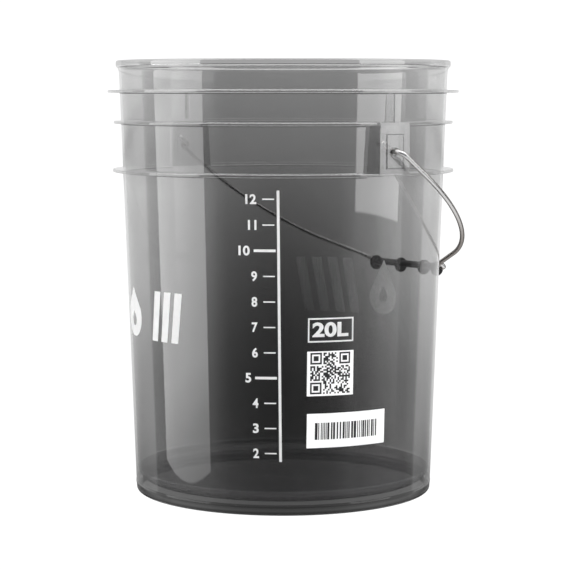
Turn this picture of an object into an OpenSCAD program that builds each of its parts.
// Clear 20 litre wash bucket with a steel wire bail, a comb grip and printed marks.
// The origin is the centre of the foot. +Z is up, and the litre scale faces -Y.

/* [Bucket] */
// Height from the foot to the rim's lid seat
bucket_h = 368; // [340:0.5:390]
// Outer radius of the wall, carried down to the foot
base_r = 127.2; // [120:0.1:130]
// Draft of the wall, in degrees
draft = 2.05; // [1.8:0.05:2.3]
// Wall thickness
wall_t = 2.2; // [1.8:0.1:3]
// Height of the floor's top face
floor_z = 10; // [8:0.5:12]
// Floor thickness
floor_t = 2.4; // [2:0.1:3]
// Radius of the fillet between the floor and the wall, inside
floor_fillet = 10; // [4:0.5:12]
// Thickness of the foot's skirt
foot_t = 4.6; // [3.5:0.1:7]
// Rounding of the foot's outer edge
foot_round = 2.4; // [1:0.1:3]
// Outer radius of the gate ring under the floor
gate_r = 17.3; // [10:0.1:30]

/* [Rim] */
// Outer radius of the rim bead
rim_r = 142.6; // [142:0.1:146]
// Height of the rim bead
rim_h = 6.4; // [5:0.1:8]
// Outer radius where the flare meets the bead
collar_r = 140.9; // [140.5:0.1:141.5]
// Height where the flare under the bead starts
collar_z = 356; // [350:0.5:359]

/* [Rings] */
// Outer radius of each stiffening ring, from the top down
ring_r = [149.6, 144.7, 145.5];
// Middle height of each stiffening ring, from the top down
ring_z = [342, 315.9, 275.2];
// Thickness of each stiffening ring, from the top down
ring_t = [2.4, 2.4, 2.6];

/* [Ears] */
// Direction of the ear that is seen from the front, in degrees to the right of -Y
ear_angle = 38; // [30:1:45]
// Distance from the bucket's axis to an ear's outer face
ear_face = 145.3; // [144:0.1:147]
// Thickness of an ear's plate
ear_t = 2; // [1.6:0.1:3]
// Width of an ear's plate
ear_w = 31.4; // [28:0.2:36]
// Width of an ear box where it meets the wall
ear_root_w = 47.2; // [40:0.2:54]
// Height of the bail's pivot axis
pivot_z = 294; // [290:0.5:297]
// Radius of the wire's hole in the ear
pivot_hole_r = 3.2; // [2.6:0.1:4]
// Width of the raised pad round the hole
pad_w = 17.6; // [14:0.2:22]
// Height of the raised pad round the hole
pad_h = 28; // [20:0.5:32]
// Height of the raised pad over the plate
pad_t = 0.7; // [0.4:0.1:1]
// Outer reach of the rib over each ear, from the bucket's axis
rib_reach = 144.4; // [143:0.1:146]
// Thickness of the rib over each ear
rib_t = 2; // [1.5:0.1:3]

/* [Bail] */
// Diameter of the wire
wire_d = 4; // [3:0.1:4.4]
// Angle between the stored bail and straight down, in degrees
bail_rest = 53; // [53:1:80]
// Distance from the bucket's axis to the straight part of each leg
leg_s = 154; // [153.6:0.1:158]
// Bend radius between a pivot and its leg
leg_bend = 7.4; // [6:0.1:8]
// Length of the straight part of each leg, from the pivot axis
leg_l = 32; // [20:1:40]
// Radius of the bail's shoulders
shoulder_r = 138; // [130:1:145]
// Slope of the arms that meet the grip, in degrees
arm_slope = 29.5; // [25:0.5:32]
// Half the distance between the two jogs that hold the grip
jog_s = 50.5; // [50:0.5:55]
// Step of each jog
jog_h = 8; // [7:0.5:10]
// Bend radius in the jogs and hooks
jog_bend = 4; // [3.5:0.1:4]
// Distance from the bucket's axis to the hooks inside the ears
hook_s = 140.9; // [140.5:0.1:141]
// Length of each hook from the pivot axis
hook_l = 12.4; // [8:0.2:12.4]

/* [Grip] */
// Where the finger discs sit along the wire, from the middle of the bail towards the seen ear
grip_discs = [-43.5, -9, 22, 39.5];
// Radius of the bore that turns on the wire
grip_bore_r = 2.3; // [2.3:0.05:2.5]
// Outer radius of the tube round the wire
grip_tube_r = 3.1; // [3:0.1:4]
// Radius of the finger discs
grip_disc_r = 6.6; // [5:0.1:6.6]
// How far the discs hang below the wire
grip_disc_drop = 1.4; // [0:0.1:1.4]
// Thickness of a finger disc
grip_disc_t = 3; // [2:0.1:4]

/* [Print] */
// Thickness of the printed marks and labels
print_t = 0.15; // [0.1:0.05:0.3]
// Height of the 2 litre mark
litre_2_z = 51.8; // [45:0.1:55]
// Height of one litre on the scale
litre_h = 20.52; // [19:0.01:21]
// Distance of the scale line to the left of the middle
scale_x = 3.2; // [0:0.1:6]
// Width of the scale line
scale_line_w = 2.6; // [1:0.1:4]
// Height of the scale's digits
digit_h = 8.2; // [6:0.1:10]

/* [Hidden] */
$fn = 128;
slope = tan(draft);
wire_r = wire_d / 2;
foot_z = floor_z - floor_t;
print_gap = 0.05;
ear_top = ring_z[1] + ring_t[1] / 2;
ear_bottom = ring_z[2] - ring_t[2] / 2;
grip_from = grip_discs[0] - grip_disc_t / 2;
grip_to = grip_discs[len(grip_discs) - 1] + grip_disc_t / 2;
first_litre = 2;
last_litre = 12;

// Outer radius of the wall at a height
function wall_r(z) = base_r + slope * z;

// Points of an arc round a centre, from one angle to another
function arc(c, r, a0, a1, n = 6) = [for (i = [0:n]) c + r * [cos(a0 + (a1 - a0) * i / n), sin(a0 + (a1 - a0) * i / n)]];

// ---- shell ----

// Cross-section of the wall, the floor, the foot and the rim bead
module shell_section() {
    inner_r = wall_r(floor_z) - wall_t;
    polygon(concat(
        [[0, foot_z], [base_r - foot_t, foot_z], [base_r - foot_t, 0]],
        arc([base_r - foot_round, foot_round], foot_round, -90, -draft, 4),
        [[wall_r(collar_z), collar_z], [collar_r, bucket_h - rim_h]],
        arc([rim_r - 1, bucket_h - rim_h + 1], 1, -90, 0, 3),
        arc([rim_r - 1.5, bucket_h - 1.5], 1.5, 0, 90, 3),
        [[wall_r(bucket_h) - wall_t + 0.8, bucket_h], [wall_r(bucket_h) - wall_t, bucket_h - 0.8]],
        arc([inner_r - floor_fillet, floor_z + floor_fillet], floor_fillet, 0, -90, 6),
        [[0, floor_z]]
    ));
}

// Everything inside the bucket that has to stay empty
module cavity() {
    rotate_extrude() polygon([
        [0, foot_z + 0.5], [wall_r(floor_z) - wall_t - 4, foot_z + 0.5],
        [wall_r(floor_z) - wall_t / 2, floor_z + 10],
        [wall_r(bucket_h) - wall_t / 2, bucket_h + 1], [0, bucket_h + 1]
    ]);
}

// One stiffening ring, with a slightly tapered flange
module ring(i) {
    t = ring_t[i];
    root = wall_r(ring_z[i]) - wall_t / 2;
    rotate_extrude() translate([0, ring_z[i]]) polygon([
        [root, -t / 2 - 0.4], [wall_r(ring_z[i]) + 0.6, -t / 2],
        [ring_r[i] - 0.4, -t / 2 + 0.15], [ring_r[i], -t / 2 + 0.5],
        [ring_r[i], t / 2 - 0.5], [ring_r[i] - 0.4, t / 2 - 0.15],
        [wall_r(ring_z[i]) + 0.6, t / 2], [root, t / 2 + 0.4]
    ]);
}

// Outline of an ear box from above, with +X pointing out of the bucket
module ear_outline(inset) {
    root_d = ear_face - 13;
    polygon([
        [root_d, -ear_root_w / 2 - 3 + inset * 1.2], [ear_face - inset, -ear_w / 2 + inset * 1.2],
        [ear_face - inset, ear_w / 2 - inset * 1.2], [root_d, ear_root_w / 2 + 3 - inset * 1.2]
    ]);
}

// One ear box: plate, slanted sides, raised pad and the rib above it
module ear() {
    translate([0, 0, ear_bottom]) linear_extrude(ear_top - ear_bottom) ear_outline(0);
    translate([ear_face - 0.5, -pad_w / 2, pivot_z - pad_h / 2]) cube([0.5 + pad_t, pad_w, pad_h]);
    translate([ear_face - 12, -rib_t / 2, ring_z[1]])
        cube([rib_reach - ear_face + 12, rib_t, ring_z[0] - ring_z[1]]);
}

// The solid cone inside the wall's outer face, over the height of the ears
module wall_cone() {
    rotate_extrude() polygon([
        [0, ear_bottom - 2], [wall_r(ear_bottom - 2), ear_bottom - 2],
        [wall_r(ear_top), ear_top], [0, ear_top]
    ]);
}

// The hollow of an ear box, which is open downwards, and the hole in its plate
module ear_hollow() {
    difference() {
        translate([0, 0, ear_bottom - 1])
            linear_extrude(ear_top - ring_t[1] - ear_bottom + 1) ear_outline(ear_t);
        wall_cone();
    }
    translate([ear_face - 6, 0, pivot_z]) rotate([0, 90, 0]) cylinder(r = pivot_hole_r, h = 10, $fn = 48);
}

// Turns from the ear's own +X to one of the two ears
module at_ears() {
    for (side = [0, 180]) rotate([0, 0, ear_angle - 90 + side]) children();
}

module gate_ring() {
    translate([0, 0, foot_z - 0.8]) difference() {
        cylinder(r = gate_r, h = 1.2);
        translate([0, 0, -1]) cylinder(r = gate_r - 2.4, h = 3);
    }
    translate([0, 0, foot_z - 1.2]) cylinder(r = 4, h = 1.6);
}

module bucket_shell() {
    color([0.35, 0.36, 0.37, 0.45]) union() {
        difference() {
            union() {
                rotate_extrude() shell_section();
                for (i = [0:2]) ring(i);
            }
            at_ears() ear_hollow();
        }
        difference() {
            at_ears() ear();
            at_ears() ear_hollow();
            cavity();
        }
        gate_ring();
    }
}

// ---- bail ----

// The bail is drawn in its own plane: +X along the pivot axis, +Y from the pivot to the grip.
shoulder_turn = 90 - arm_slope;
shoulder_end = [
    leg_s - shoulder_r + shoulder_r * cos(shoulder_turn),
    leg_l + shoulder_r * sin(shoulder_turn)
];
jog_y = shoulder_end[1] + (shoulder_end[0] - jog_s) * tan(arm_slope);
bail_l = jog_y + jog_h;
jog_tangent = jog_bend * tan((90 - arm_slope) / 2);

// A straight stretch of wire from p to q
module wire_line(p, q) {
    d = q - p;
    translate([p[0], p[1], 0]) rotate([0, 0, atan2(d[1], d[0])]) rotate([0, 90, 0])
        cylinder(d = wire_d, h = norm(d), $fn = 24);
}

// A bend of wire round c, from angle a0 through sweep. It is a hair thinner than the straight stretches and
// reaches a little way into them, so that the two join on a clean edge.
module wire_arc(c, r, a0, sweep) {
    lap = 0.2 / r * 180 / PI;
    translate([c[0], c[1], 0]) rotate([0, 0, a0 - lap]) rotate_extrude(angle = sweep + 2 * lap, $fn = 72)
        translate([r, 0]) circle(d = wire_d - 0.02, $fn = 20);
}

// Half of the bail, from its hook to the middle of the grip
module half_bail() {
    arm = [cos(arm_slope), -sin(arm_slope)];
    wire_line([hook_s, -hook_l], [hook_s, -jog_bend]);
    wire_arc([hook_s + jog_bend, -jog_bend], jog_bend, 90, 90);
    wire_line([hook_s + jog_bend, 0], [leg_s - leg_bend, 0]);
    wire_arc([leg_s - leg_bend, leg_bend], leg_bend, -90, 90);
    wire_line([leg_s, leg_bend], [leg_s, leg_l]);
    wire_arc([leg_s - shoulder_r, leg_l], shoulder_r, 0, shoulder_turn);
    wire_line(shoulder_end, [jog_s, jog_y] + jog_tangent * arm);
    wire_arc([jog_s + jog_bend, jog_y + jog_tangent], jog_bend, 180, 90 - arm_slope);
    wire_line([jog_s, jog_y + jog_tangent], [jog_s, bail_l - jog_bend]);
    wire_arc([jog_s - jog_bend, bail_l - jog_bend], jog_bend, 0, 90);
}

// Puts the bail's plane at its stored angle, hanging to the back right
module in_bail_plane() {
    translate([0, 0, pivot_z]) rotate([0, 0, ear_angle - 90]) rotate([bail_rest - 90, 0, 0]) children();
}

module bail_wire() {
    color([0.75, 0.75, 0.76]) in_bail_plane() union() {
        half_bail();
        mirror([1, 0, 0]) half_bail();
        wire_line([jog_bend - jog_s, bail_l], [jog_s - jog_bend, bail_l]);
    }
}

// ---- grip ----

// The grip turns on the wire, and hangs straight down when the bail is stored.
module at_grip() {
    translate([0, 0, pivot_z]) rotate([0, 0, ear_angle - 90])
        translate([0, bail_l * sin(bail_rest), -bail_l * cos(bail_rest)]) rotate([0, 90, 0]) children();
}

module grip_bar() {
    translate([0, 0, grip_from]) cylinder(r = grip_tube_r, h = grip_to - grip_from, $fn = 48);
    for (at = grip_discs) translate([grip_disc_drop, 0, at])
        cylinder(r = grip_disc_r, h = grip_disc_t, center = true, $fn = 64);
}

module handle_grip() {
    color([0.05, 0.05, 0.05]) at_grip() difference() {
        grip_bar();
        cylinder(r = grip_bore_r, h = 2 * jog_s, center = true, $fn = 48);
    }
}

// ---- print ----

// Thin skin on the outside of the wall between two heights, for print to be cut from
module print_skin(z0, z1) {
    rotate_extrude() polygon([
        [wall_r(z0) + print_gap, z0], [wall_r(z0) + print_gap + print_t, z0],
        [wall_r(z1) + print_gap + print_t, z1], [wall_r(z1) + print_gap, z1]
    ]);
}

// Prints a flat outline on the wall. The outline's +X is to the right and +Y is up, as seen facing the wall,
// centred at an angle to the right of -Y.
module print_at(angle, z0, z1) {
    intersection() {
        print_skin(z0, z1);
        rotate([0, 0, angle]) translate([0, -100, 0]) rotate([90, 0, 0]) linear_extrude(60) children();
    }
}

// Upright bar or level bar of a digit, on a grid of half digits
module bar(x0, y0, x1, y1, t) {
    translate([min(x0, x1) - t / 2, min(y0, y1) - t / 2]) square([abs(x1 - x0) + t, abs(y1 - y0) + t]);
}

// Which of a digit's seven bars are drawn: top, top left, top right, middle, bottom left, bottom right, bottom
DIGIT_BARS = [
    [1, 1, 1, 0, 1, 1, 1], [0, 0, 1, 0, 0, 1, 0], [1, 0, 1, 1, 1, 0, 1], [1, 0, 1, 1, 0, 1, 1],
    [0, 1, 1, 1, 0, 1, 0], [1, 1, 0, 1, 0, 1, 1], [1, 1, 0, 1, 1, 1, 1], [1, 0, 1, 0, 0, 1, 0],
    [1, 1, 1, 1, 1, 1, 1], [1, 1, 1, 1, 0, 1, 1]
];

// A bold condensed digit in a box from 0 to w and 0 to h
module digit(n, w, h) {
    t = w * 0.36;
    x0 = t / 2;
    x1 = w - t / 2;
    y0 = t / 2;
    y1 = h / 2;
    y2 = h - t / 2;
    b = DIGIT_BARS[n];
    if (b[0] == 1) bar(x0, y2, x1, y2, t);
    if (b[1] == 1) bar(x0, y1, x0, y2, t);
    if (b[2] == 1) bar(x1, y1, x1, y2, t);
    if (b[3] == 1) bar(x0, y1, x1, y1, t);
    if (b[4] == 1) bar(x0, y0, x0, y1, t);
    if (b[5] == 1) bar(x1, y0, x1, y1, t);
    if (b[6] == 1) bar(x0, y0, x1, y0, t);
}

// A whole number whose right edge is at x 0 and whose middle is at y 0
module number(n, w, h) {
    pitch = w * 1.18;
    if (n >= 10) translate([-w - pitch, -h / 2]) digit(floor(n / 10), w, h);
    translate([-w, -h / 2]) digit(n % 10, w, h);
}

// One litre's tick and number, with longer and thicker ticks at 5 and 10
module litre(n) {
    main = n % 5 == 0;
    tick_l = main ? 17.5 : 10.3;
    tick_t = main ? 2.2 : 1;
    translate([-scale_x - scale_line_w / 2 - 2.4, litre_2_z + (n - first_litre) * litre_h]) {
        translate([-tick_l, -tick_t / 2]) square([tick_l, tick_t]);
        translate([-tick_l - 4, 0]) number(n, 4.6, digit_h);
    }
}

module scale_print() {
    z0 = litre_2_z - 7;
    z1 = litre_2_z + (last_litre - first_litre) * litre_h + 7;
    color([0.95, 0.95, 0.95]) print_at(0, z0, z1) {
        translate([-scale_x - scale_line_w / 2, z0]) square([scale_line_w, z1 - z0]);
        for (n = [first_litre:last_litre]) litre(n);
    }
}

// Angle to the right of -Y of the two square marks, and of the wide label
mark_angle = 17;
wide_angle = 24;

module capacity_mark() {
    w = 38;
    h = 19.8;
    z = 148.8;
    color([0.95, 0.95, 0.95]) print_at(mark_angle, z - h, z + h) translate([0, z]) {
        difference() {
            square([w, h], center = true);
            square([w - 2.4, h - 2.4], center = true);
        }
        translate([2.6, 0]) number(20, 7.6, 11);
        bar(7, -4.4, 7, 4.4, 2.2);
        bar(7, -4.4, 11.5, -4.4, 2.2);
    }
}

module code_label() {
    w = 37.6;
    h = 35.7;
    z = 113.9;
    color([0.93, 0.93, 0.93]) print_at(mark_angle, z - h, z + h) translate([0, z]) square([w, h], center = true);
}

module barcode_label() {
    w = 67;
    h = 27.7;
    z = 68.2;
    color([0.93, 0.93, 0.93]) print_at(wide_angle, z - h, z + h) translate([0, z]) square([w, h], center = true);
}

// A drop of water, w wide
module drop(w) {
    circle(d = w);
    polygon([[-w / 2 * cos(25), w / 2 * sin(25)], [w / 2 * cos(25), w / 2 * sin(25)], [0, w * 1.15]]);
}

// Three slanted bars, side by side
module slanted_bars(w, h) {
    for (i = [0:2]) translate([(i - 1) * w * 0.38, 0])
        polygon([[-w * 0.22, -h / 2], [-w * 0.04, -h / 2], [w * 0.22, h / 2], [w * 0.04, h / 2]]);
}

module front_emblem() {
    h = 41.6;
    z = 154.8;
    color([0.95, 0.95, 0.95]) {
        print_at(-69, z - h, z + h) translate([0, z - 6]) drop(28);
        print_at(-46, z - h, z + h) translate([0, z]) slanted_bars(34, h);
    }
}

module rear_emblem() {
    h = 50;
    z = 164;
    color([0.9, 0.9, 0.9]) {
        print_at(140, z - h, z + h) translate([0, z - 8]) drop(34);
        print_at(166, z - h, z + h) translate([0, z]) slanted_bars(46, h);
    }
}

bucket_shell();
bail_wire();
handle_grip();
scale_print();
capacity_mark();
code_label();
barcode_label();
front_emblem();
rear_emblem();
